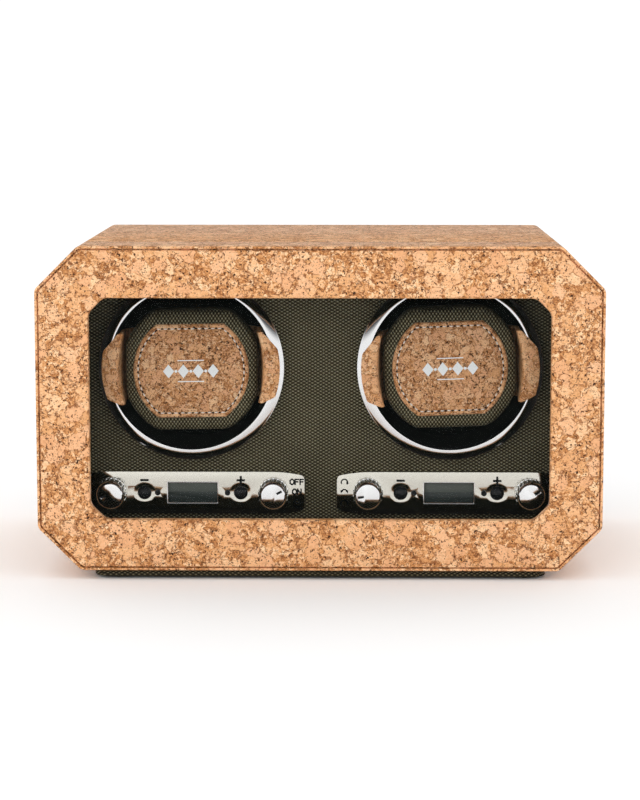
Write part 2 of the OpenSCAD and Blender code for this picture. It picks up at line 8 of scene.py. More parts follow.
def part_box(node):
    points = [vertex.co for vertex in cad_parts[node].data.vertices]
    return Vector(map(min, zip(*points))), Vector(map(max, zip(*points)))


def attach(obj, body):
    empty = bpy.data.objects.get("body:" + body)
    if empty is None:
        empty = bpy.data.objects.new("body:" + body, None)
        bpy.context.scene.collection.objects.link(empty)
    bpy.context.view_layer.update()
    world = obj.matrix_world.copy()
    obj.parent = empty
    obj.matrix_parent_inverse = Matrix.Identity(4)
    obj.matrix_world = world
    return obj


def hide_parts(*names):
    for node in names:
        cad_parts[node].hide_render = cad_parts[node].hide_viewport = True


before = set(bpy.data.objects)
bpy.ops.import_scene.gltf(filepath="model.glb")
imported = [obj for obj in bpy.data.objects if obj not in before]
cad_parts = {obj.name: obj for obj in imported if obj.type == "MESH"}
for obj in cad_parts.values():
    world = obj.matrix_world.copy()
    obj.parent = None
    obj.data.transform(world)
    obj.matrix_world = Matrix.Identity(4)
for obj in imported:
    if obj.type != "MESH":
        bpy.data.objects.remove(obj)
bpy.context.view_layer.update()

# ---- Where the box is looked at from ----------------------------------------------------
# A long lens nearly a metre and a half in front of the door, a little right of the middle and a hand's
# breadth above the lid, tipped down a few degrees, so that the top shows as a thin strip.
MM = 0.001
FOCAL_LENGTH = 107.4
EYE_RIGHT, EYE_AHEAD, EYE_HEIGHT = 20.2 * MM, 1396 * MM, 296.8 * MM
EYE_DOWN, EYE_ASIDE = math.radians(7.68), math.radians(0.82)

door_low, door_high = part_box("door_face")
lens = bpy.data.cameras.new("camera")
lens.lens = FOCAL_LENGTH
lens.clip_start = 0.05
camera = bpy.data.objects.new("camera", lens)
bpy.context.scene.collection.objects.link(camera)
camera.location = (EYE_RIGHT, door_low.y - EYE_AHEAD, EYE_HEIGHT)
camera.rotation_euler = (math.pi / 2 - EYE_DOWN, 0, EYE_ASIDE)
bpy.context.scene.camera = camera

# ---- Table and light --------------------------------------------------------------------
# A white table in a white room, and one large soft lamp in front at the left. Polished parts mirror
# a room that is dim from just above the table up.
CEILING_FROM, CEILING_FULL = 0.13, 0.30
ROOM_LIGHT = 1.08
LAMP_AT, LAMP_WIDE, LAMP_TALL, LAMP_POWER = (-0.5, -1.9, 0.75), 1.0, 0.8, 4.5


def link(name, data):
    piece = bpy.data.objects.new(name, data)
    bpy.context.scene.collection.objects.link(piece)
    return piece


def mesh_of(name, b):
    mesh = bpy.data.meshes.new(name)
    bmesh.ops.recalc_face_normals(b, faces=b.faces)
    b.to_mesh(mesh)
    b.free()
    return mesh


class Wire:
    """A shader socket that Python's operators can be used on; each operator adds a Math node."""

    def __init__(self, tree, socket):
        self.tree = tree
        self.socket = socket

    def add(self, kind, inputs=(), out=0, stops=None, **settings):
        node = self.tree.nodes.new(kind)
        for name, value in settings.items():
            setattr(node, name, value)
        if stops:
            ramp = node.color_ramp
            for place, colour in stops[1:-1]:
                ramp.elements.new(place)
            for element, (place, colour) in zip(ramp.elements, stops):
                element.position = place
                element.color = (*colour, 1) if len(colour) == 3 else colour
        for name, value in dict(inputs).items():
            if isinstance(value, Wire):
                self.tree.links.new(value.socket, node.inputs[name])
            else:
                node.inputs[name].default_value = value
        return Wire(self.tree, node.outputs[out])

    def math(self, operation, *values):
        return self.add("ShaderNodeMath", enumerate(values), operation=operation)

    def __add__(self, other):
        return self.math("ADD", self, other)

    def __sub__(self, other):
        return self.math("SUBTRACT", self, other)

    def __rsub__(self, other):
        return self.math("SUBTRACT", other, self)

    def __mul__(self, other):
        return self.math("MULTIPLY", self, other)

    def __pow__(self, other):
        return self.math("POWER", self, other)

    __radd__ = __add__
    __rmul__ = __mul__

    def between(self, low, high):
        """0 below low, 1 above high, smooth in between."""
        return self.add("ShaderNodeMapRange", {0: self, 1: low, 2: high, 3: 0.0, 4: 1.0},
                        interpolation_type="SMOOTHSTEP")

    def mix(self, low, high):
        """The colour low where this is 0, high where it is 1."""
        tint = [c if isinstance(c, Wire) else (*c, 1) for c in (low, high)]
        return self.add("ShaderNodeMix", {0: self, 6: tint[0], 7: tint[1]}, out=2, data_type="RGBA")

    def vector(self, operation, *values, out=0, **named):
        inputs = dict(enumerate(values))
        inputs.update(named)
        return self.add("ShaderNodeVectorMath", inputs, out=out, operation=operation)

    def noise(self, scale, detail=2.0, rough=0.5, out=0):
        return self.add("ShaderNodeTexNoise", {"Vector": self, "Scale": scale, "Detail": detail,
                                               "Roughness": rough}, out=out)

    def cells(self, scale, out=0, feature="F1"):
        return self.add("ShaderNodeTexVoronoi", {"Vector": self, "Scale": scale}, out=out, feature=feature)

    def bump(self, depth_mm, strength=1.0):
        return self.add("ShaderNodeBump", {"Height": self, "Distance": depth_mm * MM,
                                           "Strength": strength})

    def part(self, axis):
        return self.add("ShaderNodeSeparateXYZ", {0: self}, out="XYZ".index(axis))


def finish(name, paint):
    """A material. paint takes the piece's own coordinates in millimetres and returns the shader's inputs."""
    made = bpy.data.materials.new(name)
    made.use_nodes = True
    tree = made.node_tree
    shader = tree.nodes["Principled BSDF"]
    place = Wire(tree, tree.nodes.new("ShaderNodeTexCoord").outputs["Object"])
    for key, value in paint(place.vector("SCALE", place, Scale=1000.0)).items():
        if isinstance(value, Wire):
            tree.links.new(value.socket, shader.inputs[key])
        else:
            shader.inputs[key].default_value = value
    return made


def table_paint(at):
    return {"Base Color": at.noise(0.004, 2).mix((0.97, 0.97, 0.97), (0.99, 0.99, 0.99)),
            "Roughness": 0.8, "Specular IOR Level": 0.0}


table_b = bmesh.new()
bmesh.ops.create_grid(table_b, x_segments=2, y_segments=2, size=3)
table = link("table", mesh_of("table", table_b))
table.data.materials.append(finish("white_table", table_paint))

world = bpy.data.worlds.new("room")
bpy.context.scene.world = world
world.use_nodes = True
room = world.node_tree
up = Wire(room, room.nodes.new("ShaderNodeTexCoord").outputs["Generated"]).part("Z")
mirrored = Wire(room, room.nodes.new("ShaderNodeLightPath").outputs["Is Glossy Ray"])
walls = (up.between(CEILING_FROM, CEILING_FULL) * mirrored).mix((1, 1, 1), (0.10, 0.10, 0.105))
room.links.new(walls.socket, room.nodes["Background"].inputs["Color"])
room.nodes["Background"].inputs["Strength"].default_value = ROOM_LIGHT
bpy.context.scene.view_settings.view_transform = "Standard"


lamp = bpy.data.lights.new("front_lamp", "AREA")
lamp.shape = "RECTANGLE"
lamp.size = LAMP_WIDE
lamp.size_y = LAMP_TALL
lamp.energy = LAMP_POWER
holder = link("front_lamp", lamp)
holder.visible_glossy = False
holder.location = LAMP_AT
box_middle = Vector((0, 0, (door_low.z + door_high.z) / 2))
holder.rotation_euler = (box_middle - Vector(LAMP_AT)).to_track_quat("-Z", "Y").to_euler()

# ---- Cork covering ----------------------------------------------------------------------
# Agglomerated cork veneer, 1.5 mm thick, glued round the case and the door tray and turned over
# their edges. The granules are 3 to 9 mm, each with its own tone and grain, with dark bark specks.
CORK_T = 1.5 * MM
CASE_CHAMFER = 25.6 * MM
CASE_CORNER = 5.5 * MM
GRANULES, CRUMBS = 0.135, 0.36


def cork_paint(tone=1.0, size=1.0, dark=1.0):
    """Cork; tone dulls it, size scales its granules, and dark is how much bark it holds."""
    def tinted(*colour):
        return tuple(tone * c for c in colour)

    def paint(at):
        at = at.vector("SCALE", at, Scale=1.0 / size)
        aside = at.vector("ADD", at, (31.0, 17.0, 43.0))
        wave = at.noise(0.25, 2, 0.5, out=1)
        wave = wave.vector("SUBTRACT", wave, (0.5, 0.5, 0.5))
        ripple = at.noise(0.9, 3, 0.6, out=1)
        ripple = ripple.vector("SUBTRACT", ripple, (0.5, 0.5, 0.5))
        bent = at.vector("ADD", at, wave.vector("SCALE", wave, Scale=6.0))
        bent = bent.vector("ADD", bent, ripple.vector("SCALE", ripple, Scale=1.5))
        chip = bent.cells(GRANULES, out=1)
        crumb = bent.cells(CRUMBS, out=1)
        crumbled = chip.part("Z").between(0.42, 0.50)
        grain = aside.vector("MULTIPLY", aside, (0.5, 1.0, 1.6)).noise(0.8, 3, 0.6)
        dust = at.noise(1.1, 3, 0.7)
        whole_tone = chip.part("X") * 0.34 + 0.50
        crumb_tone = crumb.part("X") * 0.72 + 0.14
        shade = whole_tone * (1.0 - crumbled) + crumb_tone * crumbled
        shade = shade + (grain - 0.5) * 0.62 + (dust - 0.5) * (crumbled * 1.1 + 0.7)
        colour = shade.add("ShaderNodeValToRGB", {0: shade}, stops=[
            (0.0, tinted(0.370, 0.130, 0.034)),
            (0.22, tinted(0.590, 0.250, 0.080)),
            (0.46, tinted(0.770, 0.375, 0.148)),
            (0.70, tinted(0.900, 0.500, 0.246)),
            (1.0, tinted(1.000, 0.690, 0.410))])
        blush = chip.part("Y").between(0.55, 0.75) * (1.0 - crumbled) * 0.5
        colour = blush.mix(colour, tinted(0.850, 0.430, 0.220))
        # joints: brown lines round the granules, broken here and there
        joint = 1.0 - bent.cells(GRANULES, feature="DISTANCE_TO_EDGE").between(0.02, 0.062)
        joint = joint * at.noise(0.35, 2, 0.5).between(0.42, 0.54)
        crumb_joint = 1.0 - bent.cells(CRUMBS, feature="DISTANCE_TO_EDGE").between(0.03, 0.125)
        crumb_joint = crumb_joint * aside.noise(0.40, 2, 0.5).between(0.45, 0.56) * (crumbled * 0.75 + 0.25)
        # bark: dark flecks torn between the granules, and specks
        torn = aside.vector("ADD", aside, ripple.vector("SCALE", ripple, Scale=1.2))
        fleck_field = torn.noise(0.50, 3, 0.6)
        clusters = at.noise(0.11, 2, 0.5) * 0.16 + crumbled * 0.018
        reach = fleck_field + clusters * dark - 0.08
        fleck = reach.between(0.606, 0.640)
        core = reach.between(0.642, 0.680)
        speck = aside.noise(1.05, 2, 0.5).between(0.628, 0.668)
        colour = (joint * 0.78).mix(colour, tinted(0.300, 0.100, 0.026))
        colour = (crumb_joint * 0.80).mix(colour, tinted(0.270, 0.088, 0.022))
        colour = (fleck * 0.85).mix(colour, tinted(0.190, 0.058, 0.014))
        colour = core.mix(colour, (0.030, 0.010, 0.003))
        colour = (speck * 0.85).mix(colour, (0.085, 0.026, 0.008))
        relief = grain * 0.3 + dust * 0.35 - joint * 0.6 - crumb_joint * 0.5
        relief = relief - fleck * 0.8 - core * 0.6 - speck * 0.6
        return {"Base Color": colour, "Roughness": (grain * 0.12) + (fleck * 0.2) + 0.36,
                "Normal": relief.bump(0.22, 0.8), "Specular IOR Level": 0.3}
    return paint


def octagon(half_w, half_h, chamfer):
    a, b, c = half_w, half_h, chamfer
    return [(a, -b + c), (a, b - c), (a - c, b), (-a + c, b),
            (-a, b - c), (-a, -b + c), (-a + c, -b), (a - c, -b)]


def softened(corners, radius, steps=6):
    """The outline with each corner replaced by an arc."""
    out = []
    for i in range(len(corners)):
        here, before, after = (Vector(corners[k % len(corners)]) for k in (i, i - 1, i + 1))
        into, away = (here - before).normalized(), (after - here).normalized()
        bend = into.angle_signed(away) * -1
        start = here - into * radius * math.tan(bend / 2)
        centre = start + Vector((-into.y, into.x)) * radius
        spoke = start - centre
        for k in range(steps + 1):
            t = bend * k / steps
            out.append(centre + Matrix.Rotation(t, 2) @ spoke)
    return out


def case_loop(inset, y):
    """The case's outline at depth y, drawn in by inset."""
    wide = (wrap_high.x - wrap_low.x) / 2
    tall = (wrap_high.z - wrap_low.z) / 2
    chamfer = CASE_CHAMFER - inset * (2 - math.sqrt(2))
    corners = octagon(wide - inset, tall - inset, chamfer)
    rounded = softened(corners, max(CASE_CORNER - inset, 0.4 * MM))
    return [Vector((p.x, y, p.y + middle_z)) for p in rounded]


def skin(name, loops, closed=True, caps=False):
    """A surface through rings of points, each joined to the next, and the last to the first."""
    b = bmesh.new()
    rings = [[b.verts.new(p) for p in loop] for loop in loops]
    pairs = list(zip(rings, rings[1:])) + ([(rings[-1], rings[0])] if closed else [])
    for one, two in pairs:
        count = len(one)
        for k in range(count):
            b.faces.new((one[k], one[(k + 1) % count], two[(k + 1) % count], two[k]))
    if caps:
        b.faces.new(rings[0])
        b.faces.new(rings[-1])
    return link(name, mesh_of(name, b))


def smoothed(piece, degrees=40):
    piece.data.shade_smooth()
    piece.data.set_sharp_from_angle(angle=math.radians(degrees))
    return piece


def baked(piece):
    """The piece with its modifiers applied."""
    bpy.context.view_layer.update()
    graph = bpy.context.evaluated_depsgraph_get()
    mesh = bpy.data.meshes.new_from_object(piece.evaluated_get(graph), depsgraph=graph)
    piece.modifiers.clear()
    piece.data = mesh
    return piece


def cut(piece, shapes):
    """Takes the shapes, each a bmesh, out of the piece."""
    for shape in shapes:
        tool = link("tool", mesh_of("tool", shape))
        knife = piece.modifiers.new("cut", "BOOLEAN")
        knife.operation = "DIFFERENCE"
        knife.solver = "EXACT"
        knife.object = tool
        baked(piece)
        bpy.data.objects.remove(tool)
    return piece


def fitted(piece, body, material, node=None, soft=None):
    """Finishes a piece and says what it rides on, the node it replaces, and its smoothing angle."""
    piece.data.materials.append(material)
    if soft:
        smoothed(piece, soft)
    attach(piece, body)
    if node:
        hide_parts(node)
    return piece


def round_tool(at, axis, radius, length):
    b = bmesh.new()
    bmesh.ops.create_cone(b, cap_ends=True, segments=32, radius1=radius, radius2=radius, depth=length)
    turn = Vector((0, 0, 1)).rotation_difference(Vector(axis)).to_matrix().to_4x4()
    bmesh.ops.transform(b, matrix=Matrix.Translation(at) @ turn, verts=b.verts)
    return b


def box_tool(low, high):
    b = bmesh.new()
    bmesh.ops.create_cube(b, size=1)
    size = Vector(high) - Vector(low)
    place = Matrix.Translation((Vector(high) + Vector(low)) / 2) @ Matrix.Diagonal((*size, 1))
    bmesh.ops.transform(b, matrix=place, verts=b.verts)
    return b


KNUCKLE_SEAT_R = 2.75 * MM
LEAF_H = 30 * MM
MAGNET_R = 3 * MM


def hinge_cuts(leaf_node, y_low, y_high):
    """Seats for the two hinges and the catch in an edge of the covering."""
    leaf_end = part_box(leaf_node)[1].x
    pin_low, pin_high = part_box("hinge_pins")
    axis_y = (pin_low.y + pin_high.y) / 2
    axis_x = (pin_low.x + pin_high.x) / 2
    tools = []
    for z in (pin_low.z + LEAF_H / 2, pin_high.z - LEAF_H / 2):
        tools.append(round_tool((axis_x, axis_y, z), (0, 0, 1), KNUCKLE_SEAT_R, LEAF_H + 1 * MM))
        tools.append(box_tool((axis_x - 1 * MM, y_low, z - LEAF_H / 2), (leaf_end, y_high, z + LEAF_H / 2)))
    magnet_low, magnet_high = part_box("case_magnets")
    magnet_x = (magnet_low.x + magnet_high.x) / 2
    for z in (magnet_low.z + MAGNET_R, magnet_high.z - MAGNET_R):
        middle = (magnet_x, (y_low + y_high) / 2, z)
        tools.append(round_tool(middle, (0, 1, 0), MAGNET_R, y_high - y_low))
    return tools


wrap_low, wrap_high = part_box("body_wrap")
middle_z = (wrap_low.z + wrap_high.z) / 2
tray_low, tray_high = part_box("door_wrap")
wrap_low.x = -wrap_high.x  # both sides alike
cork = finish("cork", cork_paint())

y0, y1 = wrap_low.y, wrap_high.y
body_cover = skin("cork_case_cover", [case_loop(d * MM, y) for d, y in (
    (10.5, y0 + CORK_T), (10.5, y0 + 0.5 * MM), (10.0, y0), (0.7, y0), (0.2, y0 + 0.2 * MM),
    (0, y0 + 0.7 * MM), (0, y1 - 1.4 * MM), (0.4, y1 - 0.4 * MM), (1.4, y1), (10.0, y1),
    (10.5, y1 - 0.5 * MM),
    (10.5, y1 - CORK_T), (1.5, y1 - CORK_T), (1.5, y0 + CORK_T))])
cut(body_cover, hinge_cuts("hinge_leaves_body", y0 - 1 * MM, y0 + 1.2 * MM))
fitted(body_cover, "case", cork, "body_wrap", soft=40)

t0, t1 = tray_low.y, tray_high.y
door_cover = skin("cork_door_cover", [case_loop(d * MM, y) for d, y in (
    (1.5, t0 + 2.7 * MM), (1.48, t0 + 0.5 * MM), (1.1, t0 + 0.1 * MM), (0.75, t0), (0.35, t0 + 0.12 * MM),
    (0.1, t0 + 0.45 * MM), (0, t0 + 1.0 * MM), (0, t1 - 0.7 * MM), (0.2, t1 - 0.2 * MM), (0.7, t1),
    (10.0, t1), (10.5, t1 - 0.5 * MM), (10.5, t1 - CORK_T), (1.5, t1 - CORK_T))])
cut(door_cover, hinge_cuts("hinge_leaves_door", t1 - 1.2 * MM, t1 + 1 * MM))
fitted(door_cover, "door", cork, "door_wrap", soft=40)

# ---- Door front panel -------------------------------------------------------------------
# A cork-faced board set inside the tray's edge, with a narrow shadow groove all round. The veneer is
# turned into the window opening over a soft edge.
WINDOW_CHAMFER = 9 * MM
WINDOW_CORNER = 7 * MM
GLASS_LAP = 6 * MM
glass_low, glass_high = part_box("glass_pane")
face_front, face_back = door_low.y, door_high.y


def window_loop(grow, y):
    """The window's outline at depth y, let out by grow."""
    wide = (glass_high.x - glass_low.x) / 2 - GLASS_LAP + grow
    tall = (glass_high.z - glass_low.z) / 2 - GLASS_LAP + grow
    rounded = softened(octagon(wide, tall, WINDOW_CHAMFER), WINDOW_CORNER)
    return [Vector((p.x, y, p.y + middle_z)) for p in rounded]


panel_loops = [case_loop(d * MM, face_front + y * MM) for d, y in (
    (1.5, 2.6), (2.35, 2.6), (2.37, 0.6), (2.5, 0.2), (2.9, 0.0))]
panel_loops += [window_loop(g * MM, face_front + y * MM) for g, y in (
    (1.5, 0.0), (0.85, 0.12), (0.3, 0.5), (0.05, 1.1), (0, 1.8))]
panel_loops += [window_loop(0, face_back), case_loop(1.5 * MM, face_back)]
door_panel = skin("cork_door_panel", panel_loops)
fitted(door_panel, "door", cork, "door_face", soft=40)


# ---- Glass ------------------------------------------------------------------------------
# Clear float glass behind the front panel, held by the lined frame.
def glass_paint(at):
    return {"Base Color": (0.10, 0.12, 0.11, 1), "Roughness": at.noise(0.01) * 0.01 + 0.01,
            "Alpha": 0.02, "IOR": 1.06}


def dressed(node, material):
    """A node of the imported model, kept as it is, in its own finish."""
    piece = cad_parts[node]
    piece.data.materials.clear()
    piece.data.materials.append(material)


dressed("glass_pane", finish("clear_glass", glass_paint))

# ---- Olive weave: fascia, door lining, base ---------------------------------------------
# A coated ballistic fabric, dark olive, its yarns standing up as staggered beads. It is glued over
# the fascia board, the frame behind the glass and the base board.
FASCIA_BEADS = (3.4, 2.03)


def beads(u, v, pitch):
    """1 on a yarn's crown, 0 in the gap; u and v in millimetres."""
    across = u.math("COSINE", u * (2 * math.pi / pitch[0]))
    along = v.math("COSINE", v * (2 * math.pi / pitch[1]))
    return across * along * 0.5 + 0.5


def olive(crown, at, light=1.0):
    """The shader's inputs for woven yarn: its own colour on its crowns, painted shade near black in its gaps,
    and worn.
    """
    def tinted(*colour):
        return tuple(light * c for c in colour)

    yarn = at.noise(3.2, 3, 0.6)
    worn = at.noise(0.05, 3, 0.5)
    # painted shade: the colour follows the crown's height and falls to near black in the gaps between the
    # yarns
    tone = (crown ** 2.0) * 0.95 + (yarn - 0.5) * 0.15 + (worn - 0.5) * 0.16
    colour = tone.add("ShaderNodeValToRGB", {0: tone}, stops=[
        (0.0, tinted(0.013, 0.0100, 0.0045)),
        (0.3, tinted(0.055, 0.0465, 0.0250)),
        (0.65, tinted(0.175, 0.155, 0.092)),
        (1.0, tinted(0.370, 0.340, 0.225))])
    return {"Base Color": colour, "Roughness": 0.66 - crown * 0.12,
            "Normal": (crown + yarn * 0.1).bump(0.35, 0.8), "Specular IOR Level": 0.12}


def flat_weave(at):
    u, v = at.part("X"), at.part("Z")
    return olive(beads(u + (at.noise(0.03, 2) - 0.5) * 1.2, v, FASCIA_BEADS), at)


def base_weave(at):
    return olive(beads(at.part("X") + at.part("Y"), at.part("Z") + at.part("Y"), FASCIA_BEADS), at, 0.62)


weave = finish("olive_weave", flat_weave)
dressed("fascia", weave)
dressed("glass_retainer", weave)

base_low, base_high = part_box("base_board")
step_z = base_high.z - 0.7 * MM
step_y = tray_high.y + 4 * MM
BASE_CORNER = 8 * MM


def base_loop(inset, z, front=None):
    """The base board's outline at height z; front moves its front edge."""
    side = base_high.x - inset
    near = base_low.y + inset if front is None else front
    far = base_high.y - inset
    corners = [(side, near), (side, far), (-side, far), (-side, near)]
    return [Vector((p.x, p.y, z)) for p in softened(corners, max(BASE_CORNER - inset, 2 * MM), 8)]


base = skin("fabric_base_board", [base_loop(d * MM, z) for d, z in (
    (1.2, base_low.z), (0.4, base_low.z + 0.3 * MM), (0, base_low.z + 1.0 * MM), (0, step_z - 1.2 * MM),
    (0.4, step_z - 0.3 * MM), (1.3, step_z))] + [
    base_loop(3 * MM, step_z, step_y), base_loop(3 * MM, base_high.z, step_y)], closed=False, caps=True)
fitted(base, "case", finish("olive_base_weave", base_weave), "base_board", soft=40)


# ---- Chrome rings -----------------------------------------------------------------------
# Chrome-plated mouldings pressed over the front of each drum cup. The face rolls over at the drum's
# mouth, falls away in a flat dome, and turns into a straight outer wall.
def plate_paint(colour, rough, smear):
    """Plated metal with faint handling smears."""
    def paint(at):
        return {"Base Color": at.noise(0.05, 2).mix(colour, tuple(0.95 * c for c in colour)), "Metallic": 1.0,
                "Roughness": at.noise(0.12, 3, 0.6) * smear + rough}
    return paint


def spread(first, last, steps):
    """Evenly spaced values from first to last, both included."""
    return [first + (last - first) * k / steps for k in range(steps + 1)]


def full_turn(steps):
    return spread(0, 2 * math.pi, steps)[:-1]


def turned(name, centre, profile, steps=144):
    """A ring about the Y axis through centre; profile holds (radius, y) in metres."""
    loops = []
    for t in full_turn(steps):
        spoke = Vector((math.cos(t), 0, math.sin(t)))
        loops.append([Vector((centre.x, y, centre.z)) + spoke * r for r, y in profile])
    return skin(name, loops)


chrome = finish("chrome_plate", plate_paint((0.84, 0.84, 0.84), 0.04, 0.05))
SIDES = ("left", "right")
RING_FACE = 6.4 * MM
RING_WALL = 3.6 * MM
RING_SEAT = 3 * MM
EDGE_R = 0.5 * MM
LIP_R, LIP_END = 5.5 * MM, math.radians(20)
DOME_R = 16.4 * MM
drum_centre = {}
for side in SIDES:
    low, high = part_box("ring_" + side)
    drum_centre[side] = Vector(((low.x + high.x) / 2, 0, (low.z + high.z) / 2))
    rim = (high.x - low.x) / 2
    bore = rim - RING_FACE
    front, back = low.y, high.y
    dome_x = bore + (LIP_R - DOME_R) * math.sin(LIP_END)
    dome_y = front + LIP_R - (LIP_R - DOME_R) * math.cos(LIP_END)
    slope = math.asin((rim - EDGE_R - dome_x) / DOME_R)
    profile = [(bore + LIP_R * math.sin(t), front + LIP_R * (1 - math.cos(t)))
               for t in spread(0, LIP_END, 8)[:-1]]
    profile += [(dome_x + DOME_R * math.sin(t), dome_y - DOME_R * math.cos(t))
                for t in spread(LIP_END, slope, 12)]
    edge_y = profile[-1][1] + 0.05 * MM
    profile += [(rim - EDGE_R * (1 - math.sin(t)), edge_y + EDGE_R * (1 - math.cos(t)))
                for t in spread(0.15 * math.pi, 0.5 * math.pi, 4)]
    profile += [(rim, back), (rim - RING_WALL, back), (rim - RING_WALL, front + RING_SEAT),
                (bore, front + RING_SEAT), (bore, front + 0.25 * MM)]
    ring = turned("chrome_ring_" + side, drum_centre[side], profile)
    fitted(ring, "rotor_" + side, chrome, "ring_" + side, soft=50)


# ---- Drum cups --------------------------------------------------------------------------
# Deep black cups that turn with the rings and carry the cuffs. Satin moulding, near black.
def cup_paint(at):
    return {"Base Color": at.noise(0.02, 2).mix((0.0045, 0.0045, 0.005), (0.007, 0.007, 0.008)),
            "Roughness": at.noise(0.6, 3) * 0.08 + 0.34, "Specular IOR Level": 0.08}


CUP_WALL = 1.8 * MM
HUB_R, SHAFT_R, PIN_HOLE_R = 7 * MM, 4 * MM, 0.2 * MM
cup_black = finish("cup_black", cup_paint)
for side in SIDES:
    low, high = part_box("drum_cup_" + side)
    outer = (high.x - low.x) / 2
    bore = outer - CUP_WALL
    mouth = [(bore + 0.3 * MM, low.y + 0.2 * MM), (bore + 0.9 * MM, low.y),
             (outer - 0.3 * MM, low.y + 0.2 * MM), (outer, low.y + 0.6 * MM)]
    hub = [(outer, high.y - 3.2 * MM), (HUB_R, high.y - 3.0 * MM), (HUB_R, high.y), (SHAFT_R, high.y),
           (SHAFT_R, high.y - 4.1 * MM), (PIN_HOLE_R, high.y - 4.1 * MM), (PIN_HOLE_R, high.y - 5.2 * MM)]
    inside = [(bore - 3 * MM, high.y - 5.2 * MM), (bore - 0.8 * MM, high.y - 6 * MM),
              (bore, high.y - 8.4 * MM), (bore, low.y + 0.7 * MM)]
    cup = turned("drum_cup_black_" + side, drum_centre[side], mouth + hub + inside)
    fitted(cup, "rotor_" + side, cup_black, "drum_cup_" + side, soft=50)

# ---- Cuffs: cushion ---------------------------------------------------------------------
# A foam block under the same olive fabric in a finer weave. Its round sides are cut by flats and its
# edges are full and soft. Fabric under tension over foam: found by a short cloth simulation.
CUFF_BEADS = (2.1, 3.0)
CUFF_TURN = {"left": -0.9, "right": -2.3}
CUFF_DROP = {"left": 1.7 * MM, "right": 0.0}
CUSHION_R = 43.7 * MM
CUSHION_FLATS = (40.9 * MM, 37.6 * MM)
CUSHION_EDGE = 8.5 * MM
SIDE_R = 42.0
VOXEL = 2.4 * MM
AIR, SWELL = 3.0, 1.2 * MM


def cut_disc(radius, flat_x, flat_z, count=96):
    """A circle with flats at both sides, top and bottom."""
    out = []
    for k in range(count):
        t = 2 * math.pi * (k + 0.5) / count
        x, z = radius * math.cos(t), radius * math.sin(t)
        out.append((max(-flat_x, min(flat_x, x)), max(-flat_z, min(flat_z, z))))
    return out


def cushion_loop(inset, y):
    outline = cut_disc(CUSHION_R - inset, CUSHION_FLATS[0] - inset, CUSHION_FLATS[1] - inset)
    return [Vector((left_centre.x + x, y, left_centre.z + z)) for x, z in outline]


def cuff_weave(side):
    """The weave lies flat on the front and runs round the sides."""
    cx, cz = drum_centre[side].x / MM, drum_centre[side].z / MM

    def paint(at):
        x, y, z = at.part("X") - cx, at.part("Y"), at.part("Z") - cz
        facing = Wire(at.tree, at.tree.nodes.new("ShaderNodeTexCoord").outputs["Normal"]).part("Y")
        front = beads(x, z, CUFF_BEADS)
        round_side = beads(x.math("ARCTAN2", z, x) * SIDE_R, y, CUFF_BEADS)
        on_side = 1.0 - facing.math("ABSOLUTE", facing).between(0.35, 0.5)
        return olive(front * (1.0 - on_side) + round_side * on_side, at, 1.05)
    return paint


def swollen(piece, pressure, cap, frames=20):
    """Cloth with air inside, run for a few frames; no point moves further than cap."""
    start = [v.co.copy() for v in piece.data.vertices]
    cloth = piece.modifiers.new("cloth", "CLOTH")
    settings = cloth.settings
    settings.use_pressure = True
    settings.uniform_pressure_force = pressure
    settings.effector_weights.gravity = 0
    settings.tension_stiffness = 20
    settings.compression_stiffness = 20
    settings.bending_stiffness = 2
    scene = bpy.context.scene
    for k in range(1, frames + 1):
        scene.frame_set(k)
    baked(piece)
    scene.frame_set(1)
    for v, old in zip(piece.data.vertices, start):
        move = v.co - old
        if move.length > cap:
            v.co = old + move * (cap / move.length)
    return piece


first_low, first_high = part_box("cuff_cushion_left")
left_centre = drum_centre["left"]
front_y, rear_y = first_low.y, first_high.y
shoulder_y = front_y + 0.5 * MM
cushion_loops = [cushion_loop(24 * MM, front_y + 0.2 * MM)]
for t in spread(0, math.pi / 2, 8):
    cushion_loops.append(cushion_loop(CUSHION_EDGE * (1 - math.sin(t)) + 0.6 * MM,
                                      shoulder_y + CUSHION_EDGE * 0.8 * (1 - math.cos(t))))
for inset, rise in ((0.6, 4), (1.6, 1.2), (4, 0)):
    cushion_loops.append(cushion_loop(inset * MM, rear_y - rise * MM))
cushion = skin("cushion_left", cushion_loops, closed=False, caps=True)
remesh = cushion.modifiers.new("remesh", "REMESH")
remesh.mode = "VOXEL"
remesh.voxel_size = VOXEL
baked(cushion)
swollen(cushion, AIR, SWELL)
even = cushion.modifiers.new("even", "SMOOTH")
even.iterations = 4
fine = cushion.modifiers.new("fine", "SUBSURF")
fine.levels = 1
baked(cushion)
smoothed(cushion, 80)
cushion_shape = BVHTree.FromObject(cushion, bpy.context.evaluated_depsgraph_get())
second = link("cushion_right", cushion.data.copy())


def placed(piece, side, drops=True):
    """Moves a piece made round the origin to its drum, with the small turn and drop of its cuff."""
    turn = Matrix.Rotation(math.radians(CUFF_TURN[side]), 4, "Y")
    drop = Vector((0, 0, -CUFF_DROP[side] if drops else 0))
    piece.data.transform(Matrix.Translation(drum_centre[side] + drop) @ turn)
    return piece


for side, piece in zip(SIDES, (cushion, second)):
    piece.data.transform(Matrix.Translation(-left_centre))
    placed(piece, side)
    fine_weave = finish("olive_cuff_weave_" + side, cuff_weave(side))
    fitted(piece, "cuff_" + side, fine_weave, "cuff_cushion_" + side)


def crown_y(x, z, fallback):
    """How far forward the cushion's front lies at x, z from the drum's middle."""
    start = Vector((left_centre.x + x, front_y - 30 * MM, left_centre.z + z))
    hit = cushion_shape.ray_cast(start, Vector((0, 1, 0)))[0]
    return hit.y if hit else fallback


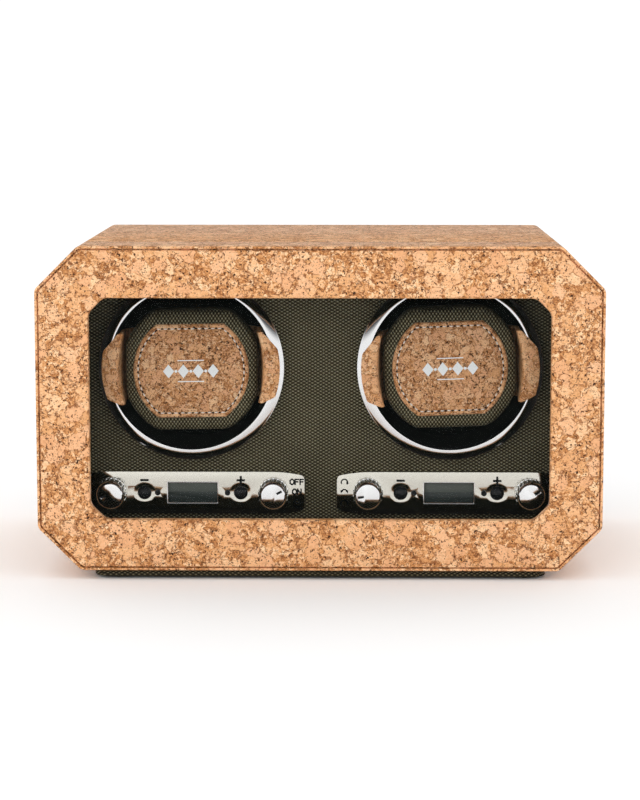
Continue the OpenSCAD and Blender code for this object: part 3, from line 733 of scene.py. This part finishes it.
# ---- Cuffs: stitched cork patch ---------------------------------------------------------
# A cork panel sewn to the cushion's front with one row of pale thread near its edge. The seam pulls
# the cork down, so the middle stands a little full.
PATCH_R, PATCH_FLAT = 35.0 * MM, 28.5 * MM
STITCH_INSET = 2.9 * MM
STITCH_PITCH = 2.05 * MM
THREAD_R = 0.4 * MM
HOLE_SIDES = 10
patch_cork = finish("patch_cork", cork_paint(0.74, 0.62, 1.1))


def thread_paint(at):
    return {"Base Color": at.noise(4.0, 3).mix((0.62, 0.57, 0.50), (0.85, 0.80, 0.72)), "Roughness": 0.7,
            "Normal": at.noise(5.0, 3).bump(0.1, 0.5)}


# Needle holes: small near-black discs on the cork, painted shade standing for the dark inside each hole.
def hole_shade_paint(at):
    return {"Base Color": at.noise(2.0).mix((0.008, 0.006, 0.005), (0.018, 0.012, 0.009)), "Roughness": 0.85}


thread = finish("pale_thread", thread_paint)
painted_hole_shade = finish("painted_hole_shade", hole_shade_paint)


def patch_outline(inset, count=96):
    return cut_disc(PATCH_R - inset, 2 * PATCH_R, PATCH_FLAT - inset, count)


def patch_height(inset):
    """How far the patch's face stands off the cushion at this distance from its edge."""
    rise = min(1.0, inset / (0.8 * MM)) ** 0.5
    groove = math.exp(-((inset - STITCH_INSET) / (0.9 * MM)) ** 2)
    full = 1 - math.exp(-max(0.0, inset - STITCH_INSET) / (6 * MM))
    return (0.15 + 1.0 * rise - 0.45 * groove + 0.55 * full) * MM


def patch_y(x, z, inset):
    return crown_y(x, z, front_y + 0.5 * MM) - patch_height(inset)


def evenly(points, pitch):
    """Points at an even pitch round a closed outline, and each one's direction."""
    points = [Vector(p) for p in points]
    lengths = [(after - here).length for here, after in zip(points, points[1:] + points[:1])]
    total = sum(lengths)
    count = round(total / pitch)
    out = []
    k, passed = 0, 0.0
    for n in range(count):
        want = total * n / count
        while passed + lengths[k] < want:
            passed += lengths[k]
            k += 1
        way = (points[(k + 1) % len(points)] - points[k]).normalized()
        out.append((points[k] + way * (want - passed), way))
    return out


def rounds_into(b, rounds):
    """Adds a closed form through rings of points."""
    rings = [[b.verts.new(p) for p in points] for points in rounds]
    sides = len(rings[0])
    for one, two in zip(rings, rings[1:]):
        for i in range(sides):
            b.faces.new((one[i], one[(i + 1) % sides], two[(i + 1) % sides], two[i]))
    b.faces.new(rings[0])
    b.faces.new(rings[-1])


def tube_into(b, points, radius):
    """Adds a round thread through the points, thinner at both ends."""
    rounds = []
    last = len(points) - 1
    for k, p in enumerate(points):
        way = (points[min(k + 1, last)] - points[max(k - 1, 0)]).normalized()
        side = way.cross(Vector((0, 1, 0))).normalized()
        up = side.cross(way)
        r = radius * (0.55 if k in (0, last) else 1.0)
        rounds.append([p + (side * math.cos(t) + up * math.sin(t)) * r for t in full_turn(8)])
    rounds_into(b, rounds)


for side in SIDES:
    loops = [[Vector((x, crown_y(x, z, front_y) + 0.3 * MM, z)) for x, z in patch_outline(0)]]
    for inset in (0.0, 0.2, 0.5, 1.0, 1.6, 2.2, 2.6, 2.9, 3.2, 3.7, 4.6, 6, 8, 11, 15, 20, 25, 27.8):
        d = inset * MM
        loops.append([Vector((x, patch_y(x, z, d), z)) for x, z in patch_outline(d)])
    patch = placed(skin("cork_patch_" + side, loops, closed=False, caps=True), side)
    fitted(patch, "cuff_" + side, patch_cork, "cuff_patch_" + side, soft=60)

    seam_b = bmesh.new()
    hole_b = bmesh.new()
    seam = evenly(patch_outline(STITCH_INSET, 192), STITCH_PITCH)
    for n, (p, way) in enumerate(seam):
        here = Vector((p.x, patch_y(p.x, p.y, STITCH_INSET), p.y))
        along = Vector((way.x, 0, way.y))
        if n % 2:
            arch = [(-0.9, 0.25), (-0.7, -0.12), (0.0, -0.36), (0.7, -0.12), (0.9, 0.25)]
            bowed = [here + along * s * MM + Vector((0, lift * MM, 0)) for s, lift in arch]
            tube_into(seam_b, bowed, THREAD_R)
        else:
            # between the stitches, a near-black disc lies on the cork as the painted shade of a needle hole
            cross = Vector((-way.y, 0, way.x))
            spokes = [along * math.cos(t) + cross * math.sin(t) for t in full_turn(HOLE_SIDES)]
            rounds_into(hole_b, [[here + spoke * r * MM + Vector((0, lift * MM, 0)) for spoke in spokes]
                                 for r, lift in ((0.85, 0.10), (0.75, -0.12), (0.35, -0.16))])
    for name, b, material in (("stitches_", seam_b, thread), ("needle_holes_", hole_b, painted_hole_shade)):
        piece = placed(link(name + side, mesh_of(name + side, b)), side)
        fitted(piece, "cuff_" + side, material, soft=60)

# ---- Cuffs: foil ornament ---------------------------------------------------------------
# Silver foil pressed into the middle of each patch: a plain row of lozenges between two bars.
FOIL_T, FOIL_SINK = 0.07 * MM, 0.03 * MM
LOZENGE_X, LOZENGE_Z = 3.4, 4.2


def foil_paint(at):
    worn = at.noise(1.6, 4, 0.7)
    return {"Base Color": worn.mix((0.62, 0.64, 0.64), (0.86, 0.88, 0.88)), "Metallic": 0.55,
            "Roughness": worn * 0.25 + 0.3, "Normal": at.noise(1.2, 3).bump(0.08, 0.5)}


foil = finish("silver_foil", foil_paint)


def foil_shape(b, corners):
    """A thin foil area that follows the patch, from corners in millimetres round the drum's middle."""
    face = [Vector((x * MM, patch_y(x * MM, z * MM, 25 * MM), z * MM)) for x, z in corners]
    rounds_into(b, [[p + Vector((0, shift, 0)) for p in face] for shift in (-FOIL_T, FOIL_SINK)])


for side in SIDES:
    b = bmesh.new()
    for x in (-13.5, -4.5, 4.5, 13.5):
        foil_shape(b, [(x - LOZENGE_X, 0), (x, -LOZENGE_Z), (x + LOZENGE_X, 0), (x, LOZENGE_Z)])
    for x in (-9, 0, 9):
        foil_shape(b, [(x + 0.9 * math.cos(t), 0.9 * math.sin(t)) for t in full_turn(12)])
    for z in (-6.6, 6.2):
        foil_shape(b, [(-8, z), (8, z), (8, z + 0.6), (-8, z + 0.6)])
    ornament = placed(link("foil_ornament_" + side, mesh_of("foil_ornament", b)), side)
    fitted(ornament, "cuff_" + side, foil)

# ---- Cuffs: cork wings ------------------------------------------------------------------
# Two cork-covered spring straps run forward from the core past the cushion's flats, crease, and lie
# flat over the ring's face as ears that hold the cuff in its drum.
WING_T = 2.2 * MM
WING_HALF = 21.6
EAR_R = 53.9
EAR_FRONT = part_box("cuff_wings_left")[0].y / MM
wing_cork = finish("wing_cork", cork_paint(0.84, 0.7, 0.8))


def ear_reach(z):
    """The ear's outer edge at height z: an arc, cut long at its upper corner and short at its lower."""
    return min(math.sqrt(EAR_R ** 2 - z ** 2), 52.8 - 9.2 * (z - 11.2) / 10.4, 50.8 - 7.6 * (-18.2 - z) / 3.4)


def wing_row(z):
    """The strap's inner and front face in plan at height z, as (x, y) in millimetres."""
    crease = 44.6 - 3.0 * (z / 21) ** 2
    arm = [(26.2, EAR_FRONT + 52), (33.0, EAR_FRONT + 41), (39.6, EAR_FRONT + 30.5), (41.5, EAR_FRONT + 26.5)]
    arm += [(41.5 + (crease - 42.6) * t, EAR_FRONT + 26.5 - 23.5 * t) for t in (0.35, 0.7, 1.0)]
    bend = [(crease - 0.75, EAR_FRONT + 1.3), (crease - 0.1, EAR_FRONT + 0.35), (crease + 0.9, EAR_FRONT)]
    reach = max(ear_reach(z), crease + 1.6)
    face = [(crease + 0.9 + (reach - crease - 0.9) * t, EAR_FRONT + 0.55 * t * t * (reach - crease) / 9)
            for t in (0.3, 0.6, 0.85, 1.0)]
    return arm + bend + face


for side in SIDES:
    for hand in (-1, 1):
        b = bmesh.new()
        grid = []
        for z in spread(-WING_HALF, WING_HALF, 36):
            grid.append([b.verts.new((hand * x * MM, y * MM, z * MM)) for x, y in wing_row(z)])
        for one, two in zip(grid, grid[1:]):
            for i in range(len(one) - 1):
                quad = (one[i], one[i + 1], two[i + 1], two[i])
                b.faces.new(quad if hand > 0 else quad[::-1])
        mesh = bpy.data.meshes.new("strap")
        b.to_mesh(mesh)
        b.free()
        end = "outer" if hand * drum_centre[side].x > 0 else "inner"
        strap = placed(link(f"cork_wing_{side}_{end}", mesh), side, drops=False)
        thick = strap.modifiers.new("thick", "SOLIDIFY")
        thick.thickness = WING_T
        thick.offset = -1
        ease = strap.modifiers.new("ease", "BEVEL")
        ease.width = 0.4 * MM
        ease.segments = 2
        ease.angle_limit = math.radians(60)
        baked(strap)
        fitted(strap, "cuff_" + side, wing_cork, soft=60)
    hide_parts("cuff_wings_" + side)


# ---- Moulded black parts ----------------------------------------------------------------
# Housings behind the drums, cuff cores, switch bodies, power socket and back panel: black plastic and
# board with a fine grained surface.
def moulded_paint(at):
    pores = at.cells(2.2)
    return {"Base Color": at.noise(0.4, 3).mix((0.012, 0.012, 0.013), (0.024, 0.024, 0.026)),
            "Roughness": at.noise(1.5, 2) * 0.15 + 0.42, "Normal": pores.bump(0.05, 0.5)}


def eased(node, width, body, material, angle=35, segments=2):
    """A copy of a CAD node's surface with its edges rounded."""
    b = bmesh.new()
    b.from_mesh(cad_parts[node].data)
    bmesh.ops.remove_doubles(b, verts=b.verts, dist=2e-6)
    bmesh.ops.dissolve_limit(b, angle_limit=math.radians(1), verts=b.verts, edges=b.edges)
    edges = [e for e in b.edges if len(e.link_faces) == 2 and e.calc_face_angle() > math.radians(angle)]
    bmesh.ops.bevel(b, geom=edges, offset=width, segments=segments, profile=0.6, affect="EDGES",
                    clamp_overlap=True)
    mesh = bpy.data.meshes.new(node + "_finished")
    b.to_mesh(mesh)
    b.free()
    for layer in [a for a in mesh.attributes if a.name == "custom_normal"]:
        mesh.attributes.remove(layer)
    fitted(link(node + "_finished", mesh), body, material, node, soft=30)


moulded = finish("moulded_black", moulded_paint)
eased("back_panel", 0.4 * MM, "case", moulded)
eased("power_socket", 0.25 * MM, "case", moulded)
for node in ("rotary_switches", "button_switches", "housing_left", "housing_right"):
    dressed(node, moulded)
for side in SIDES:
    eased("cuff_core_" + side, 2.0 * MM, "cuff_" + side, moulded, segments=4)

# ---- Control bars -----------------------------------------------------------------------
# Nickel-plated mouldings screwed over the switches, with printed legends: minus and plus over the
# buttons, direction signs at the left end, off, on and timer signs at the right end.
BUTTON_OFF = 29.5 * MM
BAR_CROWN = 0.0075
DISH_INNER, DISH_OUTER, DISH_DEPTH = 3.6, 7.0, 0.22


def bar_paint(side):
    """Satin nickel; the face is crowned by a few tenths and dished round each button."""
    low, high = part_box("control_bar_" + side)
    cx, cz = drum_centre[side].x / MM, (low.z + high.z) / 2 / MM

    def paint(at):
        x, z = at.part("X") - cx, at.part("Z") - cz
        below = z.math("MINIMUM", z, 0.0)
        face = below * below * -BAR_CROWN
        for sign in (-1, 1):
            u = x - sign * BUTTON_OFF / MM
            far = (u * u + z * z) ** 0.5
            face = face + far.between(DISH_INNER, DISH_OUTER) * DISH_DEPTH
        inputs = plate_paint((0.665, 0.640, 0.570), 0.045, 0.03)(at)
        inputs["Normal"] = face.bump(1.0, 1.0)
        return inputs
    return paint


def ink_paint(at):
    return {"Base Color": at.noise(2.0).mix((0.010, 0.010, 0.011), (0.018, 0.018, 0.018)), "Roughness": 0.7,
            "Specular IOR Level": 0.1}


ink = finish("legend_ink", ink_paint)
INK_T = 0.05 * MM


def slab_into(b, corners, y):
    """Adds a printed area a few hundredths thick on the plane at depth y."""
    rounds_into(b, [[Vector((p[0], depth, p[1])) for p in corners] for depth in (y - INK_T, y)])


def stroke(b, points, wide, y):
    """A printed line of even width through the points."""
    for a, c in zip(points, points[1:]):
        a, c = Vector(a), Vector(c)
        way = (c - a).normalized() * wide / 2
        off = Vector((-way.y, way.x))
        slab_into(b, [a - way + off, a - way - off, c + way - off, c + way + off], y)


def arc(centre, radius, start, stop, steps=12):
    angles = [math.radians(degrees) for degrees in spread(start, stop, steps)]
    return [(centre[0] + radius * math.cos(t), centre[1] + radius * math.sin(t)) for t in angles]


def arrow_tip(b, at, heading, size, y):
    turn = Matrix.Rotation(math.radians(heading), 2)
    tip = ((1, 0), (-0.6, 0.8), (-0.6, -0.8))
    slab_into(b, [Vector(at) + turn @ Vector(p) * size for p in tip], y)


LETTERS = {"O": [[(0, 0.25), (0, 0.75), (0.25, 1), (0.5, 1), (0.75, 0.75), (0.75, 0.25), (0.5, 0), (0.25, 0),
                  (0, 0.25)]],
           "F": [[(0, 0), (0, 1), (0.62, 1)], [(0, 0.52), (0.52, 0.52)]],
           "N": [[(0, 0), (0, 1), (0.68, 0), (0.68, 1)]]}


def word(b, text, centre, height, y):
    """Plain capitals made of strokes."""
    step = height * 0.98
    start = centre[0] - (len(text) * step - height * 0.25) / 2
    for k, letter in enumerate(text):
        for line in LETTERS[letter]:
            points = [(start + k * step + px * height, centre[1] + (py - 0.5) * height) for px, py in line]
            stroke(b, points, height * 0.29, y)


DISPLAY = (14.9 * MM, 5.9 * MM)
LETTER_H = 3.1 * MM
SIGN_HALF, SIGN_UP, SIGN_WIDE = 1.9 * MM, 7.7 * MM, 1.35 * MM
END_SIGNS = 4.6 * MM
for side in SIDES:
    node = "control_bar_" + side
    low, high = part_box(node)
    eased(node, 0.35 * MM, "case", finish("bar_nickel_" + side, bar_paint(side)), segments=3)
    cx, cz, y = (low.x + high.x) / 2, (low.z + high.z) / 2, low.y
    b = bmesh.new()
    for sign_x in (cx - BUTTON_OFF, cx + BUTTON_OFF):
        dash = [(sign_x - SIGN_HALF, cz + SIGN_UP), (sign_x + SIGN_HALF, cz + SIGN_UP)]
        stroke(b, dash, SIGN_WIDE, y)
    upright = [(cx + BUTTON_OFF, cz + SIGN_UP - 2 * MM), (cx + BUTTON_OFF, cz + SIGN_UP + 2 * MM)]
    stroke(b, upright, SIGN_WIDE, y)
    right_x, left_x = high.x - END_SIGNS, low.x + END_SIGNS
    word(b, "OFF", (right_x, cz + 6.8 * MM), LETTER_H, y)
    word(b, "ON", (right_x, cz + 0.7 * MM), LETTER_H, y)
    dial = Vector((right_x, cz - 6.6 * MM))
    stroke(b, arc(dial, 2.2 * MM, 0, 360, 24), 0.6 * MM, y)
    stroke(b, [dial + Vector((-1.0, 1.1)) * MM, dial, dial + Vector((1.3, 0.5)) * MM], 0.6 * MM, y)
    for height, start, stop, both_ways in (
            (6.6, 200, -20, False), (0.2, 160, 20, True), (-6.4, -20, 200, False)):
        line = arc((left_x, cz + height * MM), 1.9 * MM, start, stop)
        stroke(b, line, 0.75 * MM, y)
        swing = -90 if stop < start else 90
        arrow_tip(b, line[-1], stop + swing, 1.15 * MM, y)
        if both_ways:
            arrow_tip(b, line[0], start - swing, 1.15 * MM, y)
    rim_loops = []
    for grow, depth in ((0.95, 0.1), (0.8, -0.28), (0.55, -0.34), (0.1, 0.1), (0.0, 0.9), (0.5, 0.9)):
        w, h = DISPLAY[0] + grow * MM, DISPLAY[1] + grow * MM
        rounded = softened([(w, -h), (w, h), (-w, h), (-w, -h)], 0.5 * MM, 3)
        rim_loops.append([Vector((cx + p.x, y + depth * MM, cz + p.y)) for p in rounded])
    fitted(skin("window_rim_" + side, rim_loops), "case", chrome, soft=50)
    fitted(link("bar_legends_" + side, mesh_of("bar_legends", b)), "case", ink)

# ---- Knobs, buttons, screws, displays ---------------------------------------------------
# Fluted chrome knobs with a black index slot, domed gloss black buttons, black cross-head screws and
# a grey-green liquid crystal window set back in the bar.
def gloss_paint(at):
    return {"Base Color": at.noise(0.02, 2).mix((0.006, 0.006, 0.007), (0.010, 0.010, 0.012)),
            "Roughness": at.noise(0.6, 3) * 0.06 + 0.22, "Specular IOR Level": 0.3}


INDEX_AT = {"direction": math.radians(190), "power": math.radians(28)}
INDEX_WIDE = 1.4 * MM
gloss_black = finish("gloss_black", gloss_paint)
knob_black = finish("index_black", ink_paint)
for side in SIDES:
    for use in ("direction", "power"):
        node = f"knob_{use}_{side}"
        eased(node, 0.18 * MM, node, chrome)
        low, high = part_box(node)
        hub = Vector(((low.x + high.x) / 2, (low.z + high.z) / 2))
        heading = Vector((math.cos(INDEX_AT[use]), math.sin(INDEX_AT[use])))
        b = bmesh.new()
        stroke(b, [hub + heading * r * MM for r in (2.8, 6.0)], INDEX_WIDE, low.y + 0.36 * MM)
        fitted(link("index_" + node, mesh_of("index_" + node, b)), node, knob_black)
    for sign in ("minus", "plus"):
        node = f"button_{sign}_{side}"
        eased(node, 0.12 * MM, node, gloss_black, angle=25)


LCD_Z = (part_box("displays")[0].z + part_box("displays")[1].z) / 2 / MM


def screw_paint(at):
    return {"Base Color": at.noise(0.8, 3).mix((0.010, 0.010, 0.011), (0.03, 0.03, 0.032)), "Metallic": 0.6,
            "Roughness": at.noise(2.0, 3) * 0.2 + 0.3}


def panel_paint(at):
    """A painted reflection: lighter over its upper half, darker over its lower half."""
    height = at.part("Z") + (at.noise(0.25, 2) - 0.5) * 0.5
    # painted reflection: a soft step across the middle plus a gradient over the whole height
    painted_reflection = height.between(LCD_Z - 0.4, LCD_Z + 0.6) * 0.55 + height.between(LCD_Z - 6, LCD_Z + 7) * 0.45
    return {"Base Color": painted_reflection.mix((0.020, 0.027, 0.026), (0.125, 0.138, 0.122)),
            "Roughness": at.noise(0.3) * 0.1 + 0.2, "Specular IOR Level": 0.25}


black_screw = finish("black_screw", screw_paint)
eased("bar_screws", 0.12 * MM, "case", black_screw)
eased("displays", 0.15 * MM, "case", finish("display_panel", panel_paint))


# ---- Fittings: hinges, catch, screws, feet ----------------------------------------------
# Brass butt hinges let into the edges on the left, steel pins, nickel catch discs, black screws and
# thin rubber feet.
def metal_paint(colour, rough):
    def paint(at):
        drawn = at.vector("MULTIPLY", at, (1.0, 1.0, 0.08)).noise(3.0, 3)
        return {"Base Color": drawn.mix(colour, tuple(0.8 * c for c in colour)), "Metallic": 1.0,
                "Roughness": drawn * 0.15 + rough, "Normal": drawn.bump(0.02, 0.4)}
    return paint


def rubber_paint(at):
    return {"Base Color": at.noise(0.9, 3).mix((0.012, 0.012, 0.012), (0.022, 0.022, 0.022)),
            "Roughness": 0.8, "Normal": at.noise(2.2, 3).bump(0.06, 0.6)}


def board_paint(at):
    drawn = at.vector("MULTIPLY", at, (0.6, 0.2, 0.6)).noise(0.9, 5, 0.7)
    return {"Base Color": drawn.mix((0.30, 0.19, 0.10), (0.48, 0.34, 0.20)), "Roughness": 0.75,
            "Normal": drawn.bump(0.08, 0.6)}


# The door's lining board, near black: painted shade that the chrome rings and bars mirror.
def lining_shade_paint(at):
    return {"Base Color": at.noise(0.4, 3).mix((0.016, 0.013, 0.011), (0.034, 0.028, 0.023)),
            "Roughness": 0.7, "Normal": at.noise(0.9, 4).bump(0.05, 0.5)}


def circuit_paint(at):
    tracks = at.cells(0.3, feature="DISTANCE_TO_EDGE").between(0.05, 0.09)
    return {"Base Color": tracks.mix((0.025, 0.16, 0.07), (0.008, 0.06, 0.025)), "Roughness": 0.35}


brass = finish("satin_brass", metal_paint((0.72, 0.50, 0.20), 0.28))
steel = finish("satin_steel", metal_paint((0.55, 0.55, 0.56), 0.25))
rubber = finish("black_rubber", rubber_paint)
fibre_board = finish("fibre_board", board_paint)
eased("hinge_leaves_body", 0.15 * MM, "case", brass)
eased("hinge_leaves_door", 0.15 * MM, "door", brass)
eased("back_screws", 0.35 * MM, "case", black_screw, segments=3)
eased("base_screws", 0.2 * MM, "case", black_screw)
eased("feet", 0.3 * MM, "case", rubber)
for node in ("hinge_pins", "case_magnets", "strike_plates", "motor_left", "motor_right", "motor_brackets",
             "drum_shaft_left", "drum_shaft_right"):
    dressed(node, steel)
for node in ("drum_bushes", "motor_pulley_left", "motor_pulley_right"):
    dressed(node, brass)
dressed("belts", rubber)
dressed("bracket_screws", black_screw)
dressed("body_carcass", fibre_board)
dressed("door_rim", finish("lining_painted_shade", lining_shade_paint))
board_green = finish("circuit_green", circuit_paint)
dressed("circuit_board_left", board_green)
dressed("circuit_board_right", board_green)
